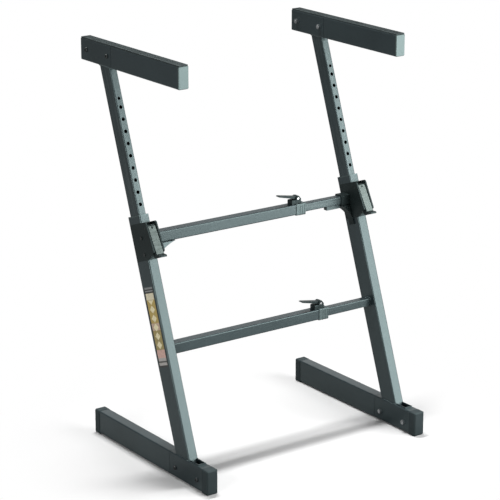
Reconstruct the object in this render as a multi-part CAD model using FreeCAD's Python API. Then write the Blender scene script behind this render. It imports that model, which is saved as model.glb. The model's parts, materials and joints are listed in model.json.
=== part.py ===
import FreeCAD, Part
import math
import os

os.makedirs("parts", exist_ok=True)

# A keyboard stand of two Z-shaped side frames joined by two telescoping crossbars.
# Millimetres. +X runs along the crossbars to the right, -Y is the player's side, +Z is up.
# The origin is on the floor, under the middle of the whole stand.

# Stance
stand_height = 940.0  # floor to the top of the arm pads, at the highest setting
frame_spacing = 588.0  # between the middles of the two side frames, at the narrowest setting
lean_angle = 19.8  # the uprights lean back from the vertical by this many degrees

# Foot bars, measured in Y from where the upright's axis meets the foot's top
foot_front_reach = 99.8
foot_back_reach = 366.2
foot_seam_back = 48.7  # the shoe ends and the bar begins here, behind the axis
foot_width = 28.0
foot_bar_height = 55.0
foot_wall = 1.4
foot_corner = 3.0
foot_cap_length = 21.0
foot_cap_drop = 2.5  # the rubber caps hold the bars this far off the floor
foot_cap_rise = 0.5
foot_cap_side = 0.75
foot_cap_corner = 4.0
foot_cap_chamfer = 3.0
foot_slot_length = 32.0
foot_slot_width = 17.0
foot_slot_rim = 1.6
foot_slot_rim_height = 2.6

# Arms, measured in Y from where the upright's axis crosses the arm's middle height
arm_front_reach = 309.6
arm_back_reach = 84.4
arm_seam_front = 41.8
arm_width = 25.4
arm_bar_height = 50.0
arm_wall = 1.5
arm_corner = 3.0
arm_cap_length = 3.0
arm_cap_edge = 1.2
arm_pad_thickness = 2.5
arm_pad_width = 24.0
arm_pad_inset = 1.5
arm_pad_edge = 0.8
arm_pad_skirt = 1.0  # how far the pad reaches down over the bar's rounded edges

# What joins a bar to its shoe, and what plugs the open ends
seam_gap = 0.8
joiner_wall = 2.0
joiner_clearance = 0.2
joiner_weld_length = 18.0
joiner_grip_length = 60.0
joiner_stop_gap = 1.0  # between the joiner and the leaning tube in front of it
foot_plug_length = 30.0
arm_plug_length = 36.0
plug_wall = 3.0
plug_clearance = 0.15
plug_bolt_depth = 20.0

# Cross bolts with dome heads on the outer side and nuts on the inner side
bolt_radius = 3.0
bolt_hole_clearance = 0.2
bolt_head_radius = 5.4
bolt_head_height = 2.6
bolt_head_edge = 1.4
bolt_socket_radius = 1.9
bolt_socket_depth = 1.6
bolt_tail = 1.2
nut_across_flats = 10.0
nut_thickness = 5.0
nut_clearance = 0.05
foot_bolt_from_seam = 22.0
foot_bolt_height = 25.0
arm_bolt_from_seam = 17.0

# Outer upright tube
upright_width = 25.0
upright_depth = 50.0
upright_wall = 1.5
upright_corner = 3.0
upright_length = 542.0  # along the axis, from the foot's top to the open end

# Inner tube, which slides in the upright and carries the arm
inner_width = 19.0
inner_depth = 38.0
inner_wall = 1.5
inner_corner = 2.5
inner_top_gap = 0.5  # below the arm's top wall
inner_insert = 102.0  # length hidden in the upright at the highest setting
hole_pitch = 27.34
hole_count = 12
hole_radius = 4.2
top_hole_gap = 19.8
top_hole_radius = 3.6

# Plastic guides between the two tubes
slide_clearance = 0.25
fixed_clearance = 0.1
bushing_depth = 38.0
bushing_lip = 2.5
glide_length = 24.0
glide_floor = 3.0

# Height lock: housing, lever, pin and spring. "Out" is square to the upright's front face,
# counted from the upright's axis; "up" is along the axis.
lock_drop = 57.0  # the lock pin is this far below the upright's open end
housing_top_drop = 16.0
housing_length = 83.0
housing_back = 19.5  # the side walls reach this far behind the axis, and the back is open
housing_wall = 2.1
housing_bevel = 1.5
cheek_gap = 22.5
cheek_top_out = 48.0
cheek_bottom_out = 58.0
cheek_bottom_rise = 14.0  # the cheeks' lower edge climbs by this much to their front
cheek_top_round = 6.0
cheek_bottom_round = 3.0
bridge_out = 39.0
bridge_thickness = 2.2
bridge_height = 15.0
lever_width = 20.5
lever_wall = 2.5
lever_pivot_out = 37.0
lever_pivot_rise = 27.0  # above the lock pin
lever_top_rise = 34.0
lever_front_top_out = 45.5
lever_front_bottom_out = 59.5
lever_face_thickness = 3.0
lever_bottom_drop = 34.5
lever_back_out = 31.0
lever_waist_out = 42.2
lever_waist_top = 14.0
lever_waist_bottom = 15.0
lever_hook_drop = 7.0  # below the lever's pivot
lever_foot_out = 50.0
lever_top_round = 3.5
lever_back_round = 3.5
tab_out = 72.0
tab_root_height = 7.0
tab_tip_height = 3.4
tab_round = 4.0
plate_width = 18.0
plate_thickness = 1.4
plate_sunk = 0.8
plate_top_gap = 3.6
plate_bottom_gap = 1.2
plate_clearance = 0.1
plate_hole_radius = 2.6
hinge_pin_radius = 2.5
hinge_clearance = 0.05
hinge_pin_inset = 0.3
lock_pin_radius = 3.8
lock_pin_tip_gap = 0.4  # the stored pin stops this far short of the inner tube
lock_pin_tip_bevel = 0.8
lock_hole_clearance = 0.4
pin_collar_out = 28.3
pin_collar_thickness = 1.2
pin_collar_radius = 6.0
neck_out = 43.3
neck_length = 3.4
neck_radius = 2.2
pin_head_length = 1.8
finger_height = 3.0
finger_thickness = 2.0
finger_gap = 0.4
spring_wire_radius = 0.35
spring_radius = 4.9
spring_turns = 4
spring_end_gap = 0.2
spring_samples = 24
screw_out = 18.0
screw_rise = 8.0
screw_lower_drop = 29.0
screw_radius = 2.0
screw_head_radius = 3.9
screw_head_height = 1.3
screw_slot_depth = 0.65
screw_slot_width = 0.65
screw_clearance = 0.15
screw_thread_gap = 0.05  # the screws end level with the inside of the upright's wall

# Crossbars
upper_bar_z = 520.0
lower_bar_z = 286.0
outer_bar_size = 25.0
outer_bar_wall = 1.5
outer_bar_corner = 2.5
inner_bar_size = 19.0
inner_bar_wall = 1.5
inner_bar_corner = 2.0
inner_bar_left_gap = 12.0  # between the inner bar's end and the left upright
inner_bar_swage = 20.0
upper_bar_end_x = 144.0
lower_bar_end_x = 148.8
tongue_height = 9.5
tongue_width = 12.0
tongue_length = 38.5

# Crossbar clamps, counted in X from the open end of the outer bar and in Z from its top face
collar_grip = 23.3
collar_wall = 1.4
collar_lip = 3.0
sleeve_length = 40.0
clamp_length = 26.0
clamp_end_inset = 7.0
clamp_width = 18.0
clamp_floor = 2.5
clamp_ear = 3.0
clamp_ear_length = 14.5
clamp_block_length = 11.0
clamp_block_height = 11.0
clamp_block_round = 3.0
clamp_ear_round = 5.75
cam_inset = 15.0
cam_height = 13.0
cam_radius = 7.0
cam_throw = 0.5
cam_side_gap = 0.4
cam_lever_length = 56.0
cam_lever_rise = 11.5  # degrees
cam_lever_root = 6.5
cam_lever_tip = 3.4
cam_lever_lift = 1.0  # the handle's middle line lies this far above the pin's
pad_radius = 4.0
pad_head_radius = 5.5
pad_clearance = 0.3
pad_rest_gap = 0.1
pad_cam_gap = 0.2
pad_seat_gap = 0.2

# Gussets under the upper crossbar
gusset_reach = 64.0
gusset_drop = 38.0
gusset_width = 22.0
gusset_sheet = 2.0
gusset_lip = 3.5
gusset_bow = 0.07  # depth of the curve as a share of its chord
socket_length = 27.5
socket_wall = 2.9
socket_gusset_reach = 26.5
socket_gusset_drop = 50.0
socket_gusset_width = 17.0
socket_gusset_bow = 0.16

# How far a cutting solid runs past the face it opens
overcut = 1.0

# When two places, or two directions, count as the same
same_place = 0.01
same_way = 0.999

# Places worked out from the sizes above
lean = math.radians(lean_angle)
foot_top = foot_cap_drop + foot_bar_height
foot_middle = foot_cap_drop + foot_bar_height / 2
arm_top = stand_height - arm_pad_thickness
arm_bottom = arm_top - arm_bar_height
arm_middle = (arm_top + arm_bottom) / 2
arm_axis_shift = (arm_middle - foot_top) * math.tan(lean)
front_reach = max(foot_front_reach, arm_front_reach - arm_axis_shift)
back_reach = max(foot_back_reach, arm_back_reach + arm_axis_shift)
axis_y = (front_reach - back_reach) / 2
arm_axis_y = axis_y + arm_axis_shift
foot_front_y = axis_y - foot_front_reach
foot_back_y = axis_y + foot_back_reach
foot_seam_y = axis_y + foot_seam_back
arm_front_y = arm_axis_y - arm_front_reach
arm_back_y = arm_axis_y + arm_back_reach
arm_seam_y = arm_axis_y - arm_seam_front
lock_up = upright_length - lock_drop
housing_top = upright_length - housing_top_drop
housing_bottom = housing_top - housing_length
housing_side = upright_width / 2 + fixed_clearance + housing_wall
housing_front = upright_depth / 2 + fixed_clearance + housing_wall
inner_face_x = frame_spacing / 2 - upright_width / 2
tube_front = upright_depth / 2
hinge_up = lock_up + lever_pivot_rise

x_way = FreeCAD.Vector(1, 0, 0)
y_way = FreeCAD.Vector(0, 1, 0)
z_way = FreeCAD.Vector(0, 0, 1)
out_way = FreeCAD.Vector(0, -1, 0)
origin = FreeCAD.Vector(0, 0, 0)

# The two bar sections: width, height, height of the middle above the floor, corner and wall
foot_section = (foot_width, foot_bar_height, foot_middle, foot_corner, foot_wall)
arm_section = (arm_width, arm_bar_height, arm_middle, arm_corner, arm_wall)


# General shapes

def box(x_low, x_high, y_low, y_high, z_low, z_high):
    corner = FreeCAD.Vector(x_low, y_low, z_low)
    return Part.makeBox(x_high - x_low, y_high - y_low, z_high - z_low, corner)


def straight_edges_along(shape, way):
    chosen = []
    for edge in shape.Edges:
        straight = edge.Curve.TypeId == "Part::GeomLine"
        if straight and abs(edge.tangentAt(edge.FirstParameter).dot(way)) > same_way:
            chosen.append(edge)
    return chosen


def rounded_along(shape, way, radius):
    return shape.makeFillet(radius, straight_edges_along(shape, way))


def edges_on_plane(shape, way, distance):
    chosen = []
    for edge in shape.Edges:
        heights = [vertex.Point.dot(way) for vertex in edge.Vertexes]
        if max(abs(height - distance) for height in heights) < same_place:
            chosen.append(edge)
    return chosen


def section_bar(way, start, end, middle_a, middle_b, size_a, size_b, corner):
    # A bar along one axis. The a and b directions are the two others, in X, Y, Z order.
    low_a = middle_a - size_a / 2
    low_b = middle_b - size_b / 2
    if way == x_way:
        bar = box(start, end, low_a, low_a + size_a, low_b, low_b + size_b)
    elif way == y_way:
        bar = box(low_a, low_a + size_a, start, end, low_b, low_b + size_b)
    else:
        bar = box(low_a, low_a + size_a, low_b, low_b + size_b, start, end)
    if corner > 0:
        bar = rounded_along(bar, way, corner)
    return bar


def section_tube(way, start, end, middle_a, middle_b, size_a, size_b, corner, wall):
    outside = section_bar(way, start, end, middle_a, middle_b, size_a, size_b, corner)
    bore_a = size_a - 2 * wall
    bore_b = size_b - 2 * wall
    bore_corner = max(corner - wall, 0)
    bore = section_bar(way, start - overcut, end + overcut, middle_a, middle_b, bore_a, bore_b, bore_corner)
    return outside.cut(bore)


def rod(x, y, z, way, length, radius):
    return Part.makeCylinder(radius, length, FreeCAD.Vector(x, y, z), way)


def outline_face(points):
    closed = points + [points[0]]
    return Part.Face(Part.makePolygon(closed))


def one_solid(shape):
    cleaned = shape.removeSplitter()
    if len(cleaned.Solids) == 1:
        return cleaned.Solids[0]
    return cleaned


def save(node, shape):
    shape.exportStep("parts/" + node + ".step")
    print(node, "solids", len(shape.Solids), "volume", round(shape.Volume, 1), "valid", shape.isValid())


# Places on the leaning upright

def frame_x(side):
    return side * frame_spacing / 2


def leaned(shape, side):
    placed = shape.copy()
    placed.rotate(origin, x_way, -lean_angle)
    placed.translate(FreeCAD.Vector(frame_x(side), axis_y, foot_top))
    return placed


def axis_y_at(height):
    return axis_y + (height - foot_top) * math.tan(lean)


def side_profile(points, x_low, x_high):
    # The points are (out, up) pairs on the upright's side.
    corners = [FreeCAD.Vector(x_low, -out, up) for out, up in points]
    return outline_face(corners).extrude(FreeCAD.Vector(x_high - x_low, 0, 0))


def upright_solid(side):
    low = -(foot_top + upright_depth)
    outside = section_bar(z_way, low, upright_length, 0, 0, upright_width, upright_depth, upright_corner)
    return leaned(outside, side)


def inner_solid(side):
    low = upright_length - inner_insert
    high = stand_height / math.cos(lean)
    outside = section_bar(z_way, low, high, 0, 0, inner_width, inner_depth, inner_corner)
    return leaned(outside, side)


# Bolts and nuts

def bolt_across(side, width, y, z):
    under_head = frame_x(side) + side * width / 2
    inward = FreeCAD.Vector(-side, 0, 0)
    outward = FreeCAD.Vector(side, 0, 0)
    shank = rod(under_head, y, z, inward, width + nut_thickness + bolt_tail, bolt_radius)
    head = rod(under_head, y, z, outward, bolt_head_height, bolt_head_radius)
    rim = edges_on_plane(head, x_way, under_head + side * bolt_head_height)
    head = head.makeFillet(bolt_head_edge, rim)
    socket_start = under_head + side * (bolt_head_height - bolt_socket_depth)
    socket = hexagon(socket_start, y, z, outward, bolt_socket_depth + overcut, bolt_socket_radius * 2)
    return one_solid(head.cut(socket).fuse(shank))


def hexagon(x, y, z, way, length, across_flats):
    corner_radius = across_flats / 2 / math.cos(math.pi / 6)
    corners = []
    for index in range(6):
        angle = math.pi / 3 * index
        corner_y = y + corner_radius * math.cos(angle)
        corner_z = z + corner_radius * math.sin(angle)
        corners.append(FreeCAD.Vector(x, corner_y, corner_z))
    return outline_face(corners).extrude(way * length)


def nut_across(side, width, y, z):
    face = frame_x(side) - side * width / 2
    inward = FreeCAD.Vector(-side, 0, 0)
    body = hexagon(face, y, z, inward, nut_thickness, nut_across_flats)
    bore = rod(face + side * overcut, y, z, inward, nut_thickness + 2 * overcut, bolt_radius + nut_clearance)
    return body.cut(bore)


def bolt_hole(side, y, z):
    reach = foot_width
    return rod(frame_x(side) - reach, y, z, x_way, 2 * reach, bolt_radius + bolt_hole_clearance)


def foot_bolt_places():
    # The first goes through the joiner, the second through the end cap's plug.
    joint = foot_seam_y - foot_bolt_from_seam
    end = foot_front_y + foot_cap_length + plug_bolt_depth
    return [(joint, foot_bolt_height), (end, foot_bolt_height)]


def arm_bolt_places():
    joint = arm_seam_y + arm_bolt_from_seam
    end = arm_back_y - arm_cap_length - plug_bolt_depth
    return [(joint, arm_middle), (end, arm_middle)]


def bolts(side, width, places):
    return Part.makeCompound([bolt_across(side, width, y, z) for y, z in places])


def nuts(side, width, places):
    return Part.makeCompound([nut_across(side, width, y, z) for y, z in places])


def with_bolt_holes(side, shape, places):
    for y, z in places:
        shape = shape.cut(bolt_hole(side, y, z))
    return one_solid(shape)


# What the foot and the arm share

def bar_tube(side, section, start, end):
    width, height, middle, corner, wall = section
    return section_tube(y_way, start, end, frame_x(side), middle, width, height, corner, wall)


def bar_filling(side, section, gap, start, end):
    # A block inside the bar, with a gap to its walls all round
    width, height, middle, corner, wall = section
    inset = 2 * (wall + gap)
    return section_bar(y_way, min(start, end), max(start, end), frame_x(side), middle,
                       width - inset, height - inset, corner - wall)


def joiner(side, section, back, weld_end, stop):
    # A short box section welded inside the bar's end, which slides into the shoe
    past = math.copysign(overcut, stop - back)
    slim = bar_filling(side, section, joiner_clearance, back, stop)
    weld = bar_filling(side, section, 0, back, weld_end)
    hollow = bar_filling(side, section, joiner_clearance + joiner_wall, back - past, stop + past)
    return slim.fuse(weld).cut(hollow)


def plug(side, section, seam, way, length):
    # The hollow part of an end cap that fills the bar's end. The way is +1 where the bar lies
    # towards +Y of the seam.
    solid = bar_filling(side, section, plug_clearance, seam, seam + way * length)
    hollow = bar_filling(side, section, plug_clearance + plug_wall, seam, seam + way * (length + overcut))
    return solid.cut(hollow)


def leaned_block(side, back_low, back_high):
    # Everything between two distances behind the upright's axis
    room = stand_height
    return leaned(box(-room, room, back_low, back_high, -room, 2 * room), side)


# Foot

def foot_bar(side):
    tube = bar_tube(side, foot_section, foot_seam_y + seam_gap / 2, foot_back_y - foot_cap_length)
    back = foot_seam_y + joiner_grip_length
    tongue = joiner(side, foot_section, back, back - joiner_weld_length, axis_y_at(0))
    tongue = tongue.cut(leaned_block(side, -stand_height, tube_front + joiner_stop_gap))
    return with_bolt_holes(side, tube.fuse(tongue), foot_bolt_places()[:1])


def foot_slot(side):
    front = axis_y - tube_front / math.cos(lean)
    half = foot_slot_width / 2
    middle = frame_x(side)
    low = foot_top - foot_wall
    rim = box(middle - half - foot_slot_rim, middle + half + foot_slot_rim,
              front - foot_slot_length - foot_slot_rim, front, low, foot_top + foot_slot_rim_height)
    opening = box(middle - half, middle + half, front - foot_slot_length, front + foot_wall,
                  low - overcut, foot_top + foot_slot_rim_height + overcut)
    return rim, opening


def foot_shoe(side):
    shoe = bar_tube(side, foot_section, foot_front_y + foot_cap_length, foot_seam_y - seam_gap / 2)
    rim, opening = foot_slot(side)
    tube = upright_solid(side)
    shoe = shoe.fuse(rim).cut(opening).cut(tube.cut(below(foot_middle)))
    return with_bolt_holes(side, shoe, foot_bolt_places())


def foot_cap(side, end, way):
    seam = end + way * foot_cap_length
    width = foot_width + 2 * foot_cap_side
    height = foot_top + foot_cap_rise
    block = section_bar(y_way, min(end, seam), max(end, seam), frame_x(side), height / 2,
                        width, height, foot_cap_corner)
    block = block.makeChamfer(foot_cap_chamfer, edges_on_plane(block, y_way, end))
    inside = plug(side, foot_section, seam, way, foot_plug_length)
    return with_bolt_holes(side, block.fuse(inside), foot_bolt_places()[1:])


def foot_caps(side):
    return Part.makeCompound([foot_cap(side, foot_front_y, 1), foot_cap(side, foot_back_y, -1)])


# Arm

def arm_bar(side):
    tube = bar_tube(side, arm_section, arm_front_y + arm_cap_length, arm_seam_y - seam_gap / 2)
    back = arm_seam_y - joiner_grip_length
    tongue = joiner(side, arm_section, back, back + joiner_weld_length, arm_axis_y + inner_depth)
    front_face = -inner_depth / 2 - joiner_stop_gap
    tongue = tongue.cut(leaned_block(side, front_face, stand_height))
    return with_bolt_holes(side, tube.fuse(tongue), arm_bolt_places()[:1])


def arm_shoe(side):
    shoe = bar_tube(side, arm_section, arm_seam_y + seam_gap / 2, arm_back_y - arm_cap_length)
    shoe = shoe.cut(inner_solid(side).common(below(arm_middle)))
    return with_bolt_holes(side, shoe, arm_bolt_places())


def below(height):
    room = stand_height
    return box(-room, room, -room, room, -room, height)


def arm_cap(side, end, way):
    seam = end + way * arm_cap_length
    block = section_bar(y_way, min(end, seam), max(end, seam), frame_x(side), arm_middle,
                        arm_width, arm_bar_height, arm_corner)
    block = block.makeChamfer(arm_cap_edge, edges_on_plane(block, y_way, end))
    inside = plug(side, arm_section, seam, way, arm_plug_length)
    return with_bolt_holes(side, block.fuse(inside), arm_bolt_places()[1:])


def arm_caps(side):
    return Part.makeCompound([arm_cap(side, arm_front_y, 1), arm_cap(side, arm_back_y, -1)])


def arm_pad(side):
    start = arm_front_y + arm_pad_inset
    end = arm_back_y - arm_pad_inset
    half = arm_pad_width / 2
    low = arm_top - arm_pad_skirt
    pad = box(frame_x(side) - half, frame_x(side) + half, start, end, low, stand_height)
    pad = pad.makeFillet(arm_pad_edge, edges_on_plane(pad, z_way, stand_height))
    bar = section_bar(y_way, arm_front_y, arm_back_y, frame_x(side), arm_middle,
                      arm_width, arm_bar_height, arm_corner)
    return one_solid(pad.cut(bar))


# Upright and inner tube

def upright(side):
    tube = section_tube(z_way, -foot_top - upright_depth, upright_length, 0, 0,
                        upright_width, upright_depth, upright_corner, upright_wall)
    tube = tube.cut(rod(0, -tube_front + overcut + upright_wall, lock_up, out_way,
                        upright_wall + 2 * overcut, lock_pin_radius + lock_hole_clearance))
    for up in screw_ups():
        tube = tube.cut(rod(0, -screw_out, up, x_way * side, upright_width, screw_radius + screw_thread_gap))
    return one_solid(leaned(tube, side).cut(below(foot_cap_drop + foot_corner)))


def inner_tube(side):
    low = upright_length - inner_insert
    tube = section_tube(z_way, low, stand_height / math.cos(lean), 0, 0,
                        inner_width, inner_depth, inner_corner, inner_wall)
    inside_face = -inner_depth / 2 + inner_wall + overcut
    for index in range(hole_count):
        up = lock_up + index * hole_pitch
        tube = tube.cut(rod(0, inside_face, up, out_way, inner_wall + 2 * overcut, hole_radius))
    last = lock_up + (hole_count - 1) * hole_pitch + top_hole_gap
    tube = tube.cut(rod(0, inside_face, last, out_way, inner_wall + 2 * overcut, top_hole_radius))
    return one_solid(leaned(tube, side).common(below(arm_top - arm_wall - inner_top_gap)))


def bushing(side):
    # A plastic guide in the upright's open end, with a lip over the tube's edge
    low = upright_length - bushing_depth
    high = upright_length + bushing_lip
    width = upright_width - 2 * (upright_wall + fixed_clearance)
    depth = upright_depth - 2 * (upright_wall + fixed_clearance)
    sleeve = section_bar(z_way, low, high, 0, 0, width, depth, upright_corner - upright_wall)
    lip = section_bar(z_way, upright_length, high, 0, 0, upright_width, upright_depth, upright_corner)
    bore = section_bar(z_way, low - overcut, high + overcut, 0, 0, inner_width + 2 * slide_clearance,
                       inner_depth + 2 * slide_clearance, inner_corner)
    return one_solid(leaned(sleeve.fuse(lip).cut(bore), side))


def inner_glide(side):
    # A plastic cup on the inner tube's lower end
    tube_end = upright_length - inner_insert
    low = tube_end - glide_floor
    high = tube_end + glide_length - glide_floor
    width = upright_width - 2 * (upright_wall + slide_clearance)
    depth = upright_depth - 2 * (upright_wall + slide_clearance)
    cup = section_bar(z_way, low, high, 0, 0, width, depth, upright_corner - upright_wall)
    seat = section_bar(z_way, tube_end, high + overcut, 0, 0, inner_width + 2 * fixed_clearance,
                       inner_depth + 2 * fixed_clearance, inner_corner)
    return one_solid(leaned(cup.cut(seat), side))


# Height lock

def cheek_outline():
    return [
        (0, housing_bottom),
        (housing_front, housing_bottom),
        (cheek_bottom_out, housing_bottom + cheek_bottom_rise),
        (cheek_top_out, housing_top),
        (0, housing_top),
    ]


def housing_body():
    half = housing_side
    base = box(-half, half, -housing_front, housing_back, housing_bottom, housing_top)
    base = rounded_along(base, z_way, housing_bevel)
    cheeks = side_profile(cheek_outline(), -half, half)
    cheeks = cheeks.makeFillet(cheek_top_round, edges_near(cheeks, cheek_top_out, housing_top))
    cheeks = cheeks.makeFillet(cheek_bottom_round,
                               edges_near(cheeks, cheek_bottom_out, housing_bottom + cheek_bottom_rise))
    gap = box(-cheek_gap / 2, cheek_gap / 2, -2 * cheek_bottom_out, -housing_front,
              housing_bottom - overcut, housing_top + overcut)
    bridge = box(-cheek_gap / 2, cheek_gap / 2, -bridge_out - bridge_thickness, -bridge_out,
                 lock_up - bridge_height / 2, lock_up + bridge_height / 2)
    return base.fuse(cheeks.cut(gap)).fuse(bridge)


def edges_near(shape, out, up):
    # The edges across the upright at one place on its side
    chosen = []
    for edge in straight_edges_along(shape, x_way):
        point = edge.Vertexes[0].Point
        if abs(-point.y - out) < same_place and abs(point.z - up) < same_place:
            chosen.append(edge)
    return chosen


def screw_ups():
    return [lock_up + screw_rise, lock_up - screw_lower_drop]


def lock_housing(side):
    body = housing_body()
    seat = section_bar(z_way, housing_bottom - overcut, housing_top + overcut, 0, 0,
                       upright_width + 2 * fixed_clearance, upright_depth + 2 * fixed_clearance,
                       upright_corner)
    body = body.cut(seat)
    pin_hole = lock_pin_radius + lock_hole_clearance
    body = body.cut(rod(0, 0, lock_up, out_way, 2 * cheek_bottom_out, pin_hole))
    reach = 2 * housing_side
    body = body.cut(rod(-reach, -lever_pivot_out, hinge_up, x_way, 2 * reach,
                        hinge_pin_radius + hinge_clearance))
    for up in screw_ups():
        body = body.cut(rod(0, -screw_out, up, x_way * side, reach, screw_radius + screw_clearance))
    placed = leaned(body, side)
    return one_solid(placed.cut(crossbar_room(side)).cut(gusset_room(side)))


def crossbar_room(side):
    # The window in the housing's inner side for the upper crossbar or its socket
    size = outer_bar_size + 2 * fixed_clearance
    inner_side = frame_x(side) - side * (upright_width / 2 + fixed_clearance)
    middle = frame_x(side) - side * outer_bar_size
    return section_bar(x_way, min(inner_side, middle), max(inner_side, middle),
                       axis_y_at(upper_bar_z), upper_bar_z, size, size, 0)


def gusset_room(side):
    # The slot below that window, for the gusset
    width = gusset_width if side < 0 else socket_gusset_width
    drop = gusset_drop if side < 0 else socket_gusset_drop
    half = width / 2 + fixed_clearance
    bar_up = (upper_bar_z - foot_top) / math.cos(lean)
    face = -side * upright_width / 2
    outside = face - side * outer_bar_size
    low = bar_up - outer_bar_size / 2 / math.cos(lean) - drop - fixed_clearance
    return leaned(box(min(face, outside), max(face, outside), -half, half, low, bar_up), side)


def lever_front_at(up):
    top = lock_up + lever_top_rise
    bottom = lock_up - lever_bottom_drop
    share = (top - up) / (top - bottom)
    return lever_front_top_out + share * (lever_front_bottom_out - lever_front_top_out)


def lever_outline():
    top = lock_up + lever_top_rise
    bottom = lock_up - lever_bottom_drop
    tab_bottom = bottom - tab_root_height
    return [
        (lever_back_out, top),
        (lever_front_at(top), top),
        (lever_front_at(bottom), bottom),
        (tab_out, tab_bottom + tab_tip_height),
        (tab_out, tab_bottom),
        (lever_foot_out, tab_bottom),
        (lever_waist_out, lock_up - lever_waist_bottom),
        (lever_waist_out, lock_up + lever_waist_top),
        (lever_back_out, hinge_up - lever_hook_drop),
    ]


def lock_lever_local():
    half = lever_width / 2
    top = lock_up + lever_top_rise
    bottom = lock_up - lever_bottom_drop
    lever = side_profile(lever_outline(), -half, half)
    lever = lever.makeFillet(lever_top_round, edges_near(lever, lever_front_at(top), top))
    lever = lever.makeFillet(lever_back_round, edges_near(lever, lever_back_out, top))
    inside = [
        (0, top - lever_wall),
        (lever_front_at(top) - lever_face_thickness, top - lever_wall),
        (lever_front_at(bottom) - lever_face_thickness, bottom),
        (0, bottom),
    ]
    lever = lever.cut(side_profile(inside, -half + lever_wall, half - lever_wall))
    finger_start = neck_radius + finger_gap
    for way in (-1, 1):
        low = min(way * finger_start, way * (half - lever_wall))
        high = max(way * finger_start, way * (half - lever_wall))
        finger = box(low, high, -neck_out - finger_thickness / 2, -neck_out + finger_thickness / 2,
                     lock_up - finger_height / 2, lock_up + finger_height / 2)
        lever = lever.fuse(finger)
    lever = lever.cut(rod(-lever_width, -lever_pivot_out, hinge_up, x_way, 2 * lever_width,
                          hinge_pin_radius + hinge_clearance))
    return lever


def plate_outline(grow, depth_in, depth_out):
    top = lock_up + lever_top_rise - plate_top_gap + grow
    bottom = lock_up - lever_bottom_drop + plate_bottom_gap - grow
    return [
        (lever_front_at(top) - depth_in, top),
        (lever_front_at(top) + depth_out, top),
        (lever_front_at(bottom) + depth_out, bottom),
        (lever_front_at(bottom) - depth_in, bottom),
    ]


def lock_lever(side):
    lever = lock_lever_local()
    half = plate_width / 2 + plate_clearance
    recess = side_profile(plate_outline(plate_clearance, plate_sunk, overcut), -half, half)
    lever = one_solid(lever.cut(recess))
    tab_edges = edges_on_plane_along(lever, tab_out)
    lever = lever.makeFillet(tab_round, tab_edges)
    return one_solid(leaned(lever, side))


def edges_on_plane_along(shape, out):
    # The short upright edges at the tip of the finger tab
    chosen = []
    for edge in straight_edges_along(shape, z_way):
        if abs(-edge.Vertexes[0].Point.y - out) < same_place:
            chosen.append(edge)
    return chosen


def lever_plate(side):
    half = plate_width / 2
    proud = plate_thickness - plate_sunk
    plate = side_profile(plate_outline(0, plate_sunk, proud), -half, half)
    plate = plate.cut(rod(0, 0, hinge_up, out_way, 2 * lever_front_bottom_out, plate_hole_radius))
    return one_solid(leaned(plate, side))


def lever_pin(side):
    half = housing_side - hinge_pin_inset
    return leaned(rod(-half, -lever_pivot_out, hinge_up, x_way, 2 * half, hinge_pin_radius), side)


def lock_pin(side):
    tip_out = inner_depth / 2 + lock_pin_tip_gap
    neck_start = neck_out - neck_length / 2
    neck_end = neck_out + neck_length / 2
    body = rod(0, -tip_out, lock_up, out_way, neck_start - tip_out, lock_pin_radius)
    body = body.makeChamfer(lock_pin_tip_bevel, edges_on_plane(body, out_way, tip_out))
    collar = rod(0, -pin_collar_out, lock_up, out_way, pin_collar_thickness, pin_collar_radius)
    neck = rod(0, -neck_start, lock_up, out_way, neck_length, neck_radius)
    head = rod(0, -neck_end, lock_up, out_way, pin_head_length, lock_pin_radius)
    return one_solid(leaned(body.fuse(collar).fuse(neck).fuse(head), side))


def housing_screws(side):
    screws = []
    face = side * housing_side
    inward = FreeCAD.Vector(-side, 0, 0)
    outward = FreeCAD.Vector(side, 0, 0)
    slot_floor = face + side * (screw_head_height - screw_slot_depth)
    slot_end = slot_floor + side * screw_head_height
    shank_length = housing_side - upright_width / 2 + upright_wall
    for up in screw_ups():
        shank = rod(face, -screw_out, up, inward, shank_length, screw_radius)
        head = rod(face, -screw_out, up, outward, screw_head_height, screw_head_radius)
        slot = box(min(slot_floor, slot_end), max(slot_floor, slot_end),
                   -screw_out - screw_head_radius, -screw_out + screw_head_radius,
                   up - screw_slot_width / 2, up + screw_slot_width / 2)
        screws.append(one_solid(leaned(head.cut(slot).fuse(shank), side)))
    return Part.makeCompound(screws)


# The lock spring, one unbroken coil round the pin

def coil_point(turn, pitch):
    angle = 2 * math.pi * turn
    return FreeCAD.Vector(spring_radius * math.cos(angle), spring_radius * math.sin(angle), pitch * turn)


def coil_heading(turn, pitch):
    angle = 2 * math.pi * turn
    run = 2 * math.pi * spring_radius
    heading = FreeCAD.Vector(-run * math.sin(angle), run * math.cos(angle), pitch)
    return heading.normalize()


def arc_with_apex(start, apex, end):
    # The round arc that leaves the start towards the apex and reaches the end from it
    chord = end - start
    cosine = chord.Length / 2 / (apex - start).Length
    middle = (start + apex * (2 * cosine) + end) * (1 / (2 + 2 * cosine))
    return Part.Arc(start, middle, end).toShape()


def biarc(start, start_way, end, end_way):
    gap = end - start
    both = start_way + end_way
    turning = 2 * (1 - start_way.dot(end_way))
    along = gap.dot(both)
    reach = (-along + math.sqrt(along * along + turning * gap.dot(gap))) / turning
    first_apex = start + start_way * reach
    second_apex = end - end_way * reach
    middle = (first_apex + second_apex) * 0.5
    return [arc_with_apex(start, first_apex, middle), arc_with_apex(middle, second_apex, end)]


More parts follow.
